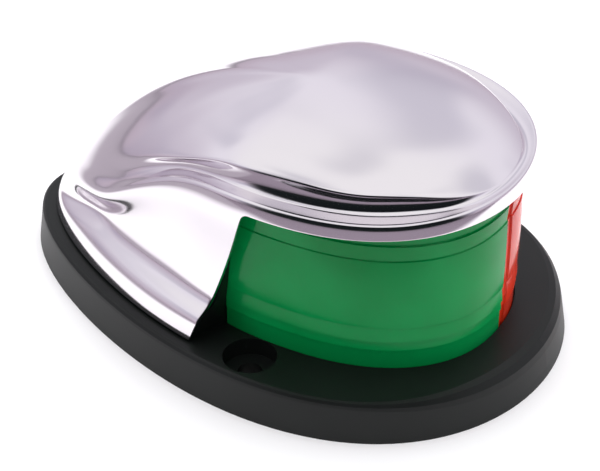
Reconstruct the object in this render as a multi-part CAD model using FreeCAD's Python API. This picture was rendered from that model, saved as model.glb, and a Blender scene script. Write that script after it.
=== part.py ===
"""Bow navigation light: a black moulded base, a two-colour lens and a pressed chrome hood.

Frame: +X points to the bow, +Y to port, +Z up.  The origin is on the base's underside, halfway along its
length.  All sizes are millimetres.  Each function makes one sub-part, and the last section writes them all.
"""
import FreeCAD
import Part
import math
import os

V = FreeCAD.Vector
AXIS_X, AXIS_Y, AXIS_Z = V(1, 0, 0), V(0, 1, 0), V(0, 0, 1)
ORIGIN = V(0, 0, 0)
SIDES = (-1, 1)                 # starboard, port

# ---- driving sizes: base ----
BASE_LENGTH = 124.0
BASE_WIDTH = 82.6               # across the middle of the length, where the egg shape is neutral
EGG = 0.26                      # how much wider the bow half is than the stern half
DECK_Z = 9.0
DECK_THICKNESS = 3.5
BASE_WALL = 4.5
EDGE_DRAFT = 1.0                # how far the side leans in before the edge rounds over
EDGE_ROUND = 1.2
BOW_SOFTNESS = 1.6              # how much wider that rounding is at the bow, as a share
PEG_RADIUS = 0.9                # heat-staked pegs under the pieces that stand on the deck
GASKET_WIDTH = 1.8
GASKET_DEPTH = 1.5
GASKET_SETBACK = 1.6
RIB_THICKNESS = 1.6

# ---- driving sizes: hood ----
SHEET = 0.8
HOOD_GAP = 0.65                 # air between the deck and the hood's rim
RIM_SETBACK = 4.2               # from the base outline to the hood's rim
RIM_BAND = 5.95                 # height of the upright band round the hood's rim
HOOD_TOP = 55.4
CROWN_X = 7.0
VISOR_SETBACK = 7.8             # from the base outline to the visor's upright lip
LIP_LEAN = 1.2                  # how far the visor's lip leans in over its height
VISOR_TOP = 46.9
VISOR_BOTTOM = 43.8
COVE_WIDTH = 6.3                # hollow between the visor's lip and the crown
SCALLOP_DEPTH = 4.0             # hollow in each flank
RIDGE_HEIGHT = 0.4
MOUTH_FOOT_X = -2.6             # where the hood's open mouth meets the rim
MOUTH_LEAN = 0.351              # forward lean of the mouth's edge, per mm of height
MOUTH_CORNER = 2.0

# ---- driving sizes: lens ----
LENS_CENTRE_X = 14.5
LENS_LENGTH = 72.0
LENS_WIDTH = 56.2
LENS_SQUARENESS = 2.3           # 2 would make its plan a true ellipse
LENS_WALL = 2.4
LENS_SWELL = 0.5                # how far its belly stands out from its rims
LENS_TOP = 44.2
LENS_REAR_X = 0.8
SEAT_DEPTH = 2.0
SEAT_GASKET = 0.8
TOP_SEAL_WIDTH = 2.0
TOP_SEAL_HEIGHT = 0.6

# ---- driving sizes: lamp, socket and wiring ----
LAMP_Z = 26.0
GLOBE_RADIUS = 9.5
GLOBE_X = 14.5
GLASS_WALL = 0.6
CAP_RADIUS = 7.5
CAP_FRONT_X = 3.0
CAP_LENGTH = 16.0
CAP_WALL = 0.4
PIN_RADIUS = 1.0
PIN_REACH = 1.4
PIN_SETBACK = 9.0               # from the cap's front rim to its bayonet pins
LOCK_ANGLE = 25.0               # turn between the locked place and the way out
PUSH_TRAVEL = 1.5
SOCKET_WALL = 0.5
SOCKET_FIT = 0.25
SOCKET_MOUTH_X = 1.0
SOCKET_LENGTH = 26.0
BULKHEAD_FRONT_X = 0.5
BULKHEAD_THICKNESS = 2.0
CONTACT_OFFSET = 3.2
PLUNGER_RADIUS = 1.5
CONTACT_REACH = 1.0
INSULATOR_THICKNESS = 2.5
COLLAR_RADIUS = 2.3
COLLAR_THICKNESS = 0.8
SPRING_BORE = 1.5
SPRING_RADIUS = 2.0
END_PLATE = 1.0
LEAD_RADIUS = 0.9

# ---- driving sizes: fasteners ----
MOUNT_X = 10.5
MOUNT_SPACING = 68.2
MOUNT_HOLE = 5.2
MOUNT_HEAD = 11.2
MOUNT_HEAD_DEPTH = 4.0
MOUNT_BOSS = 17.0
HOOD_SCREW_Z = 12.9
HOOD_SCREW = 3.0
HOOD_SCREW_HEAD = 5.6
HOOD_SCREW_HEAD_THICKNESS = 1.4
POCKET_X = -53.3                # outer face of the flat that the screw pulls on
POCKET_WIDTH = 8.0
POCKET_TOP = HOOD_SCREW_Z + 3.7
WASHER_THICKNESS = 0.5
INSERT_RADIUS = 2.2
INSERT_LENGTH = 6.0
GROMMET_X = -17.0
GROMMET_BORE = 5.0
GROMMET_BODY = 9.0
GROMMET_LIP = 1.6

# ---- clearances ----
LIFT_STEPS = (0.0, 6.0, 12.0, 18.0, 24.0)       # heights at which the rising hood must clear the walls
GAP = 0.3                       # between pieces that come apart
WALL_GAP = 0.8                  # between the hood's inside and the walls it lifts off over
FIT = 0.1                       # between a fastener and what it holds

RIM_Z = DECK_Z + HOOD_GAP
BAND_Z = RIM_Z + RIM_BAND
SPANS = 72                      # control points round the hood
ROWS = 20                       # control rows from crown to rim
LIP_ROW = 10                    # the one at the top of the visor's lip

# Hood control rows, crown first.  The first six lie on the dome; the next five make the visor's gutter and
# the top of its lip, then come the flank below it and the upright rim band.
FRONT_SHARE = (0.06, 0.3, 0.58, 0.8, 0.93, 1.0)
TAIL_SHARE = (0.06, 0.24, 0.42, 0.57, 0.68, 0.77, 0.82, 0.85, 0.875, 0.895, 0.912, 0.925, 0.938, 0.952,
              0.966, 0.975, 0.98, 0.985, 0.994, 1.0)
FLANK_RISE = (0.93, 0.8, 0.607, 0.3125, 0.0)
FLANK_FOOT = 20.5
CARVE = {12: 0.1, 13: 0.5, 14: 0.95, 15: 1.05, 16: 0.95}
DOME_POWER = 2.04
FALL_FRONT, FALL_SIDE, FALL_TAIL = 0.155, 0.43, 0.80


def outline(t, setback=0.0):
    """A point of the base's egg-shaped outline, moved in along its normal."""
    length, width = BASE_LENGTH / 2, BASE_WIDTH / 2
    c, s = math.cos(t), math.sin(t)
    dx, dy = -length * s, width * (c + EGG * math.cos(2 * t))
    n = math.hypot(dx, dy)
    return length * c - setback * dy / n, width * s * (1 + EGG * c) + setback * dx / n


def ease(value, low, high):
    u = min(1.0, max(0.0, (value - low) / (high - low)))
    return u * u * (3 - 2 * u)


def degrees_from_bow(t):
    return abs(math.degrees(math.atan2(math.sin(t), math.cos(t))))


def cove_width(deg):
    """The gutter between crown and lip is wide on the sides and almost closes at the bow."""
    return COVE_WIDTH * (0.4 + 0.6 * ease(deg, 8, 45) - 0.3 * ease(deg, 66, 100))


def dome(share, t):
    """A point of the crown's dome, at a share of the way from its centre to the rim."""
    deg = degrees_from_bow(t)
    fall = FALL_FRONT + (FALL_SIDE - FALL_FRONT) * ease(deg, 85, 128) + (FALL_TAIL - FALL_SIDE) * ease(deg, 112, 168)
    ox, oy = outline(t, RIM_SETBACK)
    z = RIM_Z + (HOOD_TOP - RIM_Z) * max(0.0, 1 - share ** DOME_POWER) ** fall
    return V(CROWN_X + share * (ox - CROWN_X), share * oy, z)


def visor(row, t):
    """A control point of the visor: gutter, lip and the flank below, which falls away behind the lip."""
    deg = degrees_from_bow(t)
    past = max(0.0, deg - 86)
    past = past * past / (past + 3)
    drop, shift = 0.245 * past, 0.19 * min(past, 15)
    top = VISOR_TOP - drop
    cove = cove_width(deg)
    if row <= LIP_ROW:
        across, sunk = ((0.97, 0.0), (0.84, 0.5), (0.56, 0.95), (0.16, 0.35), (-0.02, -0.05))[row - 6]
        z = top - sunk * cove / COVE_WIDTH
        if row == 6:
            z += 0.75 * (hood_point(5, t).z - z)
        return V(*outline(t, VISOR_SETBACK + LIP_LEAN + across * cove + shift), z)
    if row <= 15:
        z = FLANK_FOOT + (top - FLANK_FOOT) * FLANK_RISE[row - 11]
    else:
        z = (BAND_Z + 1.0, BAND_Z, BAND_Z - 3.1, RIM_Z)[row - 16]
    lip = (z - VISOR_BOTTOM + drop) / (VISOR_TOP - VISOR_BOTTOM)
    share = min(1.0, (z - RIM_Z) / (VISOR_BOTTOM - drop - RIM_Z))
    return V(*outline(t, RIM_SETBACK + (VISOR_SETBACK + shift - RIM_SETBACK) * share + LIP_LEAN * max(0, lip)), z)


def hood_point(row, t):
    """One control point of the hood's outer skin."""
    deg = degrees_from_bow(t)
    to_tail = ease(deg, 90, 130)
    if row <= 5:
        ox, oy = outline(t, RIM_SETBACK)
        ex, ey = outline(t, VISOR_SETBACK + LIP_LEAN + cove_width(deg))
        edge = FRONT_SHARE[row] * math.hypot(ex - CROWN_X, ey) / math.hypot(ox - CROWN_X, oy)
        point = dome(edge + (TAIL_SHARE[row] - edge) * to_tail, t)
        if row == 0:
            point.z = HOOD_TOP
        return point
    rear = dome(TAIL_SHARE[row], t)
    ceiling = {14: 29.0, 15: 22.5, 16: BAND_Z + 2.6, 17: BAND_Z, 18: BAND_Z - 3.1, 19: RIM_Z}
    rear.z = min(rear.z, ceiling.get(row, HOOD_TOP))
    front = visor(row, t)
    point = front + (rear - front) * to_tail
    inward = CARVE.get(row, 0.0) * SCALLOP_DEPTH * (1 - ease(deg, 132, 162))
    if row in (10, 11):
        inward -= RIDGE_HEIGHT * ease(deg, 80, 110) * (1 - ease(deg, 135, 165))
    if row in (7, 8, 9):
        inward += 0.8 * ease(deg, 80, 110) * (1 - ease(deg, 125, 140))
    ox, oy = outline(t)
    ix, iy = outline(t, 1.0)
    return point + V(ix - ox, iy - oy, 0) * inward


def kept_within(point, limit, margin):
    """The point, drawn in toward the crown's centre until it is no farther out than the limit."""
    here = math.hypot(point.x - CROWN_X, point.y)
    share = min(1.0, (math.hypot(limit.x - CROWN_X, limit.y) - margin) / here)
    return V(CROWN_X + (point.x - CROWN_X) * share, point.y * share, point.z)


def hood_net(inset):
    """Control points round and down the hood, moved in along the skin's normal."""
    net = [[hood_point(row, t) for row in range(ROWS)] for t in turns()]
    if inset == 0:
        return net
    moved = []
    for i in range(SPANS):
        column = []
        for row in range(ROWS):
            along = net[(i + 1) % SPANS][row] - net[i - 1][row]
            down = net[i][min(row + 1, ROWS - 1)] - net[i][max(row - 1, 0)]
            normal = along.cross(down)
            normal.normalize()
            if row == 0:
                normal = V(0, 0, -1)
            if row >= ROWS - 3:
                normal = V(normal.x, normal.y, 0)
                normal.normalize()
            if normal.dot(net[i][row] - V(CROWN_X, 0, 20)) > 0:
                normal = normal * -1
            column.append(net[i][row] + normal * inset)
        column[LIP_ROW] = (column[LIP_ROW - 1] + column[LIP_ROW + 1]) * 0.5
        for row in range(LIP_ROW, LIP_ROW - 5, -1):
            column[row] = kept_within(column[row], column[LIP_ROW + 1], 0.2 * (LIP_ROW + 1 - row))
        moved.append(column)
    return moved


def hood_body(inset, skirt=0.0):
    """The solid inside the hood's skin, closed by flat faces, and run down past the rim by skirt."""
    net = hood_net(inset)
    if skirt:
        for column in net:
            column.append(column[-1] - V(0, 0, skirt))
    rows = len(net[0])
    surface = Part.BSplineSurface()
    surface.buildFromPolesMultsKnots(net, [1] * (SPANS + 1), [4] + [1] * (rows - 4) + [4],
                                     list(range(SPANS + 1)), list(range(rows - 2)), True, False, 3, 3)
    side = surface.toShape()
    ends = [e for e in side.Edges if e.BoundBox.ZLength < 1e-6]
    caps = [Part.Face(Part.Wire([e])) for e in ends]
    shell = Part.makeShell([side] + caps)
    shell.sewShape()
    return oriented(Part.makeSolid(shell))


def oriented(solid):
    if solid.Volume < 0:
        solid.reverse()
    return solid


def mouth_prism():
    """The space in front of the hood's mouth and under its visor."""
    reach, below = BASE_LENGTH, RIM_Z - 5
    foot = MOUTH_FOOT_X + MOUTH_LEAN * (below - RIM_Z)
    corner = MOUTH_FOOT_X + MOUTH_LEAN * (VISOR_BOTTOM - RIM_Z)
    up = V(corner - foot, 0, VISOR_BOTTOM - below)
    up.normalize()
    knee = V(corner, 0, VISOR_BOTTOM)
    start, end = knee - up * MOUTH_CORNER, knee + AXIS_X * MOUTH_CORNER
    middle = (start + end) * 0.25 + knee * 0.5
    edges = [Part.makeLine(V(foot, 0, below), start), Part.Arc(start, middle, end).toShape(),
             Part.makeLine(end, V(reach, 0, VISOR_BOTTOM)), Part.makeLine(V(reach, 0, VISOR_BOTTOM), V(reach, 0, below)),
             Part.makeLine(V(reach, 0, below), V(foot, 0, below))]
    face = Part.Face(Part.Wire(edges))
    face.translate(V(0, -BASE_WIDTH, 0))
    return face.extrude(V(0, 2 * BASE_WIDTH, 0))


def box(x0, x1, y0, y1, z0, z1):
    return Part.makeBox(x1 - x0, y1 - y0, z1 - z0, V(x0, y0, z0))


def rod(radius, start, end):
    axis = end - start
    return Part.makeCylinder(radius, axis.Length, start, axis)


def ring(radius, bore, start, end):
    return rod(radius, start, end).cut(rod(bore, start, end))


def joined(first, *others):
    return first.fuse(list(others)).removeSplitter() if others else first


def group(shapes):
    """Separate solids that share one node."""
    return Part.makeCompound([solid for shape in shapes for solid in shape.Solids])


def loop(points):
    """A smooth closed curve through points."""
    curve = Part.BSplineCurve()
    curve.interpolate(points, PeriodicFlag=True)
    return Part.Wire([curve.toShape()])


def turns():
    return [2 * math.pi * i / SPANS for i in range(SPANS)]


def egg_wire(setback, z):
    return loop([V(*outline(t, setback), z) for t in turns()])


def edge_wire(share_in, share_down):
    """One ring of the flange's rounded top edge, which is softer at the bow."""
    points = []
    for t in turns():
        size = EDGE_ROUND * (1 + BOW_SOFTNESS * (1 - ease(degrees_from_bow(t), 12, 58)))
        points.append(V(*outline(t, EDGE_DRAFT + size * share_in), DECK_Z - size * share_down))
    return loop(points)


def egg_prism(setback, low, high):
    return Part.Face(egg_wire(setback, low)).extrude(V(0, 0, high - low))


def egg_band(outer, inner, low, high):
    return egg_prism(outer, low, high).cut(egg_prism(inner, low, high))


def lens_wire(grow, z):
    """The lens's blunt oval in plan, grown by a distance all round."""
    points = []
    for t in turns():
        along, across = (math.copysign(abs(v) ** (2 / LENS_SQUARENESS), v) for v in (math.cos(t), math.sin(t)))
        points.append(V(LENS_CENTRE_X + (LENS_LENGTH / 2 + grow) * along, (LENS_WIDTH / 2 + grow) * across, z))
    return loop(points)


def lens_prism(grow, low, high):
    return Part.Face(lens_wire(grow, low)).extrude(V(0, 0, high - low))


def lens_front(low, high):
    """Everything ahead of the lens's straight rear edges."""
    return box(LENS_REAR_X, BASE_LENGTH, -BASE_WIDTH, BASE_WIDTH, low, high)


def mount_places():
    return [V(MOUNT_X, side * MOUNT_SPACING / 2, 0) for side in SIDES]


def pin_place(angle, x, reach):
    a = math.radians(angle)
    return V(x, reach * math.cos(a), LAMP_Z + reach * math.sin(a))


def in_lamp_axis(x, y=0.0, z=0.0):
    return V(x, y, LAMP_Z + z)


# ---- places worked out from the sizes above ----
SEAT_Z = DECK_Z - SEAT_DEPTH
LENS_FOOT = SEAT_Z + SEAT_GASKET
CAP_REAR_X = CAP_FRONT_X - CAP_LENGTH
CONTACT_X = CAP_REAR_X - CONTACT_REACH
SOCKET_RADIUS = CAP_RADIUS + SOCKET_FIT
SOCKET_REAR_X = SOCKET_MOUTH_X - SOCKET_LENGTH
INSULATOR_FRONT_X = CONTACT_X - PUSH_TRAVEL - 0.5
INSULATOR_REAR_X = INSULATOR_FRONT_X - INSULATOR_THICKNESS
COLLAR_REAR_X = INSULATOR_REAR_X - COLLAR_THICKNESS
END_PLATE_X = SOCKET_REAR_X + END_PLATE
CONTACTS = [side * CONTACT_OFFSET for side in SIDES]
BULKHEAD_REAR_X = BULKHEAD_FRONT_X - BULKHEAD_THICKNESS
BRACKET_THICKNESS = 1.0
BRACKET_COLLAR = 2.5
BRACKET_HALF_WIDTH = 14.0
RIVET_Y = 11.6
RIVET_RADIUS = 1.25
BLOCK_X = -39.0
BLOCK_LENGTH, BLOCK_WIDTH, BLOCK_HEIGHT = 9.0, 17.0, 7.5
BLOCK_WAY = 4.4                 # half the spacing of the two wire ways
BLOCK_SCREW = 1.25
PLATE_X = POCKET_X + SHEET      # inner face of the screw's flat
HEAD_FACE_X = POCKET_X - FIT - WASHER_THICKNESS
POST_X = PLATE_X + 0.2           # front face of the stern post
POST_LENGTH = INSERT_LENGTH + 2.5
DECK_UNDER = DECK_Z - DECK_THICKNESS
BULKHEAD_PEGS = [V(BULKHEAD_FRONT_X - BULKHEAD_THICKNESS / 2, y, DECK_Z) for y in (-16.0, -5.0, 5.0, 16.0)]
POST_PEGS = [V(POST_X + POST_LENGTH - 2, y, DECK_Z) for y in (-1.8, 1.8)]


def base_housing():
    """The moulded base: egg-shaped flange and deck, lens seat, screw bosses and stiffening ribs."""
    rings = [(0, 1), (0.13, 0.5), (0.5, 0.13)]
    flange = Part.makeLoft([egg_wire(0, 0)] + [edge_wire(*ring) for ring in rings] + [edge_wire(1, 0)], True, True)
    hollow = egg_prism(BASE_WALL, -1, DECK_UNDER)
    bosses = [rod(MOUNT_BOSS / 2, place, place + AXIS_Z * (DECK_Z - 1)) for place in mount_places()]
    ribs = [box(x - RIB_THICKNESS / 2, x + RIB_THICKNESS / 2, -BASE_WIDTH / 2, BASE_WIDTH / 2, 1, DECK_Z - 1)
            for x in (-34.0, MOUNT_X, 34.0)]
    ribs.append(box(GROMMET_X + 14, BASE_LENGTH / 2, -RIB_THICKNESS / 2, RIB_THICKNESS / 2, 1, DECK_Z - 1))
    inside = egg_prism(BASE_WALL - 1, 0, DECK_Z - 1)
    base = flange.cut(hollow).fuse(joined(*[shape.common(inside) for shape in bosses + ribs]))
    seat = lens_prism(GAP, SEAT_Z, DECK_Z + 1).cut(lens_prism(-LENS_WALL - GAP, SEAT_Z, DECK_Z + 1))
    seat_front = box(LENS_REAR_X - 0.2, BASE_LENGTH, -BASE_WIDTH, BASE_WIDTH, SEAT_Z, DECK_Z + 1)
    cuts = [seat.common(seat_front), gasket_ring()]
    for place in mount_places():
        cuts.append(rod(MOUNT_HOLE / 2, place - AXIS_Z, place + AXIS_Z * (DECK_Z + 1)))
        cuts.append(rod(MOUNT_HEAD / 2, place + AXIS_Z * (DECK_Z - MOUNT_HEAD_DEPTH), place + AXIS_Z * (DECK_Z + 1)))
    cuts.append(rod(GROMMET_BODY / 2, V(GROMMET_X, 0, -1), V(GROMMET_X, 0, DECK_Z + 1)))
    cuts.append(rod(BLOCK_SCREW, V(BLOCK_X, 0, DECK_UNDER - 1), V(BLOCK_X, 0, DECK_Z + 1)))
    cuts += pegs(BULKHEAD_PEGS + POST_PEGS)
    return base.cut(cuts)


def pegs(places):
    """Round pegs from the deck's top down through it."""
    return [rod(PEG_RADIUS, place, V(place.x, place.y, DECK_UNDER)) for place in places]


def lamp_bulkhead():
    """The wall behind the lamp, with the two cheeks that close the hood's mouth beside the lens."""
    low, high = DECK_Z, HOOD_TOP
    lens_room = lens_prism(LENS_SWELL + GAP, low - 1, high + 1)
    lens_room = lens_room.cut(box(-BASE_LENGTH, LENS_REAR_X - GAP, -BASE_WIDTH, BASE_WIDTH, low - 2, high + 2))
    port_cheek = cheek(low, high).cut(lens_room)
    half = LENS_WIDTH / 2 - 2.7
    wall = box(BULKHEAD_REAR_X, BULKHEAD_FRONT_X, -half, half, low, high)
    walls = wall.fuse([port_cheek, port_cheek.mirror(ORIGIN, AXIS_Y)])
    holes = [rod(SOCKET_RADIUS + SOCKET_WALL + FIT, in_lamp_axis(-5), in_lamp_axis(5))]
    holes += [slot_bar(LOCK_ANGLE + turned) for turned in (0, 180)]
    holes += [rod(RIVET_RADIUS, in_lamp_axis(-5, side * RIVET_Y), in_lamp_axis(5, side * RIVET_Y)) for side in SIDES]
    walls = walls.cut(holes)
    room = SHEET + WALL_GAP
    for lift in LIFT_STEPS:
        under_hood = hood_body(room, lift + 2)
        under_hood.translate(V(0, 0, lift))
        walls = walls.common(under_hood)
    return walls.fuse(pegs(BULKHEAD_PEGS))


def cheek(low, high):
    """The port cheek: a wall from the lens's rear edge out to the edge of the hood's mouth, which leans."""
    rake = MOUTH_LEAN * (high - low)
    foot = MOUTH_FOOT_X - 0.5 + MOUTH_LEAN * (low - RIM_Z)
    inner, outer, rear = 24.0, 36.5, BULKHEAD_REAR_X + 0.4
    bottom = [(1.9, inner), (foot, outer), (foot - 2.4, outer), (rear, inner)]
    top = [(3.6, inner), (foot + rake, outer), (foot + rake - 2.4, outer), (rear, inner)]
    wires = [Part.makePolygon([V(x, y, z) for x, y in corners + corners[:1]])
             for corners, z in ((bottom, low), (top, high))]
    return oriented(Part.makeLoft(wires, True, True))


def slot_bar(angle):
    """The space that a bayonet pin sweeps on its way in along the socket."""
    bar = box(CAP_FRONT_X - PIN_SETBACK - PIN_RADIUS - PUSH_TRAVEL - 0.3, SOCKET_MOUTH_X + 4, 5,
              CAP_RADIUS + PIN_REACH + 0.4, -PIN_RADIUS - 0.25, PIN_RADIUS + 0.25)
    bar.rotate(ORIGIN, AXIS_X, angle)
    bar.translate(V(0, 0, LAMP_Z))
    return bar


def screw_post():
    """The post at the stern that holds the hood screw's insert, bevelled to clear the hood's slope."""
    half, top, bevel = INSERT_RADIUS + 1.4, HOOD_SCREW_Z + INSERT_RADIUS + 0.6, 1.2
    post = box(POST_X, POST_X + POST_LENGTH, -half, half, DECK_Z, top)
    lead_in = box(POST_X - bevel, POST_X + bevel, -half - 1, half + 1, -bevel, bevel)
    lead_in.rotate(V(POST_X, 0, 0), AXIS_Y, 45)
    lead_in.translate(V(0, 0, top + bevel * 0.4))
    bores = [rod(INSERT_RADIUS, V(POST_X - 1, 0, HOOD_SCREW_Z), V(POST_X + INSERT_LENGTH, 0, HOOD_SCREW_Z))]
    return joined(post.cut([lead_in] + bores), *pegs(POST_PEGS))


def block_screw():
    """The self-tapping screw that holds the terminal block to the deck."""
    head_z = DECK_Z + BLOCK_HEIGHT - 3.0
    screw = joined(rod(BLOCK_SCREW, V(BLOCK_X, 0, DECK_UNDER), V(BLOCK_X, 0, head_z)),
                   rod(2.2, V(BLOCK_X, 0, head_z), V(BLOCK_X, 0, head_z + 1.5)))
    return screw.cut(box(BLOCK_X - 3, BLOCK_X + 3, -0.35, 0.35, head_z + 0.8, head_z + 3))


def gasket_ring():
    return egg_band(GASKET_SETBACK, GASKET_SETBACK + GASKET_WIDTH, 0, GASKET_DEPTH)


def hood():
    """The pressed hood: a thin shell, open in front, with a flat at the stern for its screw."""
    outer = hood_body(0.0)
    shell = outer.cut(hood_body(SHEET, 2.0))
    half = POCKET_WIDTH / 2
    stern = -BASE_LENGTH
    block = box(stern, PLATE_X, -half - SHEET, half + SHEET, RIM_Z, POCKET_TOP + SHEET).common(outer)
    pocket = box(stern, POCKET_X, -half, half, 0, POCKET_TOP)
    slot = joined(box(stern, PLATE_X + 5, -HOOD_SCREW / 2 - 0.2, HOOD_SCREW / 2 + 0.2, 0, HOOD_SCREW_Z),
                  rod(HOOD_SCREW / 2 + 0.2, V(stern, 0, HOOD_SCREW_Z), V(PLATE_X + 5, 0, HOOD_SCREW_Z)))
    return shell.fuse(block).cut([pocket, slot, mouth_prism()])


# Outer profile of the lens from foot to top: height above the deck, and the swell as a share.
LENS_STEPS = ((4.3, 0.0), (4.5, 0.6), (6.5, 0.2), (6.7, 0.9), (9.9, 0.3), (10.1, 0.75), (18.3, 1.0), (26.4, 0.75),
              (26.6, 0.3), (30.1, 0.9), (30.3, 0.2), (33.1, 0.6), (33.3, 0.0))


def lens_wall():
    """Both halves of the lens in one: stepped outside, plain inside, straight rear edges."""
    stations = [(LENS_FOOT, 0.0)] + [(DECK_Z + rise, share * LENS_SWELL) for rise, share in LENS_STEPS] + [(LENS_TOP, 0.0)]
    wires = []
    for z, swell in stations:
        wires.append(lens_wire(swell, z))
    solid = oriented(Part.makeLoft(wires, True, True))
    return solid.cut(lens_prism(-LENS_WALL, LENS_FOOT - 1, LENS_TOP + 1)).common(lens_front(LENS_FOOT - 1, LENS_TOP + 1))


def lens_half(side):
    edge = sorted((0, side * BASE_WIDTH))
    return lens_wall().common(box(-5, BASE_LENGTH, edge[0], edge[1], 0, BASE_LENGTH))


def lens_seat_gasket():
    band = lens_prism(0, SEAT_Z, LENS_FOOT).cut(lens_prism(-LENS_WALL, SEAT_Z, LENS_FOOT))
    return band.common(lens_front(SEAT_Z, LENS_FOOT))


def lens_top_seal():
    """A flat rubber band on the lens's top edge, just under the hood."""
    inset = (LENS_WALL - TOP_SEAL_WIDTH) / 2
    top = LENS_TOP + TOP_SEAL_HEIGHT
    band = lens_prism(-inset, LENS_TOP, top).cut(lens_prism(-LENS_WALL + inset, LENS_TOP, top))
    return band.common(lens_front(LENS_TOP, top))


def socket_shell():
    tube = ring(SOCKET_RADIUS + SOCKET_WALL, SOCKET_RADIUS, in_lamp_axis(SOCKET_REAR_X), in_lamp_axis(SOCKET_MOUTH_X))
    ways = []
    for turned in (0, 180):
        ways.append(slot_bar(LOCK_ANGLE + turned))
        pin_x = CAP_FRONT_X - PIN_SETBACK
        low, high = pin_x - PIN_RADIUS - PUSH_TRAVEL - 0.3, pin_x + PIN_RADIUS + 0.25
        side = math.degrees(math.asin((PIN_RADIUS + 0.25) / SOCKET_RADIUS))
        start = Part.makePolygon([V(low, 5, 0), V(high, 5, 0), V(high, 10, 0), V(low, 10, 0), V(low, 5, 0)])
        arm = Part.Face(start).revolve(ORIGIN, AXIS_X, LOCK_ANGLE + side)
        arm.rotate(ORIGIN, AXIS_X, turned - side)
        arm.translate(V(0, 0, LAMP_Z))
        ways.append(oriented(arm))
    return tube.cut(ways)


def socket_bracket():
    front = BULKHEAD_REAR_X
    plate = box(front - BRACKET_THICKNESS, front, -BRACKET_HALF_WIDTH, BRACKET_HALF_WIDTH, LAMP_Z - 10.5, LAMP_Z + 10.5)
    collar = rod(SOCKET_RADIUS + SOCKET_WALL + 0.8, in_lamp_axis(front - BRACKET_COLLAR), in_lamp_axis(front))
    bore = rod(SOCKET_RADIUS + SOCKET_WALL, in_lamp_axis(front - 9), in_lamp_axis(front + 9))
    holes = [rod(1.25, in_lamp_axis(front - 5, side * RIVET_Y), in_lamp_axis(front + 5, side * RIVET_Y)) for side in SIDES]
    return plate.fuse(collar).cut([bore] + holes + [slot_bar(LOCK_ANGLE), slot_bar(LOCK_ANGLE + 180)])


def socket_rivets():
    rivets = []
    for side in SIDES:
        y = side * RIVET_Y
        tail_x = BULKHEAD_REAR_X - BRACKET_THICKNESS
        rivets.append(joined(rod(1.25, in_lamp_axis(tail_x - 0.8, y), in_lamp_axis(BULKHEAD_FRONT_X + 0.9, y)),
                             rod(2.3, in_lamp_axis(BULKHEAD_FRONT_X, y), in_lamp_axis(BULKHEAD_FRONT_X + 0.9, y)),
                             rod(2.1, in_lamp_axis(tail_x - 0.8, y), in_lamp_axis(tail_x, y))))
    return group(rivets)


def contact_insulator():
    disc = rod(SOCKET_RADIUS, in_lamp_axis(INSULATOR_REAR_X), in_lamp_axis(INSULATOR_FRONT_X))
    bores = [rod(PLUNGER_RADIUS + 0.05, in_lamp_axis(INSULATOR_REAR_X - 1, y), in_lamp_axis(INSULATOR_FRONT_X + 1, y))
             for y in CONTACTS]
    return disc.cut(bores)


def contact_plungers():
    return group([joined(rod(PLUNGER_RADIUS, in_lamp_axis(INSULATOR_REAR_X, y), in_lamp_axis(CONTACT_X, y)),
                         rod(COLLAR_RADIUS, in_lamp_axis(COLLAR_REAR_X, y), in_lamp_axis(INSULATOR_REAR_X, y)))
                  for y in CONTACTS])


def contact_springs():
    """The room of two small compression springs, between the plungers' collars and the end plate."""
    return group([ring(SPRING_RADIUS, SPRING_BORE, in_lamp_axis(END_PLATE_X + 0.05, y), in_lamp_axis(COLLAR_REAR_X - 0.05, y))
                  for y in CONTACTS])


def socket_end_plate():
    disc = rod(SOCKET_RADIUS, in_lamp_axis(SOCKET_REAR_X), in_lamp_axis(END_PLATE_X))
    return disc.cut([rod(1.3, in_lamp_axis(SOCKET_REAR_X - 1, y), in_lamp_axis(END_PLATE_X + 1, y)) for y in CONTACTS])


def socket_terminals():
    """Brass eyelets through the end plate; the leads are soldered into them."""
    eyelets = []
    for y in CONTACTS:
        body = joined(rod(1.3, in_lamp_axis(SOCKET_REAR_X, y), in_lamp_axis(END_PLATE_X, y)),
                      rod(2.0, in_lamp_axis(SOCKET_REAR_X - 0.6, y), in_lamp_axis(SOCKET_REAR_X, y)))
        eyelets.append(body.cut(rod(LEAD_RADIUS, in_lamp_axis(SOCKET_REAR_X - 2, y), in_lamp_axis(SOCKET_REAR_X + 0.4, y))))
    return group(eyelets)


def bulb_cap():
    cap = rod(CAP_RADIUS, in_lamp_axis(CAP_REAR_X), in_lamp_axis(CAP_FRONT_X))
    cap = cap.cut(rod(CAP_RADIUS - CAP_WALL, in_lamp_axis(CAP_REAR_X + 1.2), in_lamp_axis(CAP_FRONT_X + 1)))
    pin_x = CAP_FRONT_X - PIN_SETBACK
    pins = [rod(PIN_RADIUS, pin_place(a, pin_x, CAP_RADIUS - CAP_WALL), pin_place(a, pin_x, CAP_RADIUS + PIN_REACH))
            for a in (0, 180)]
    return joined(cap, *pins)


def bulb_contacts():
    return group([rod(1.7, in_lamp_axis(CONTACT_X, y), in_lamp_axis(CAP_REAR_X, y)) for y in CONTACTS])


def bulb_form(inset):
    neck = CAP_RADIUS - CAP_WALL - FIT - inset
    rear = CAP_REAR_X + 8 + inset
    globe = Part.makeSphere(GLOBE_RADIUS - inset, in_lamp_axis(GLOBE_X))
    return joined(globe, rod(neck, in_lamp_axis(rear), in_lamp_axis(GLOBE_X - 4)))


def bulb_glass():
    return bulb_form(0.0).cut(bulb_form(GLASS_WALL))


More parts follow.
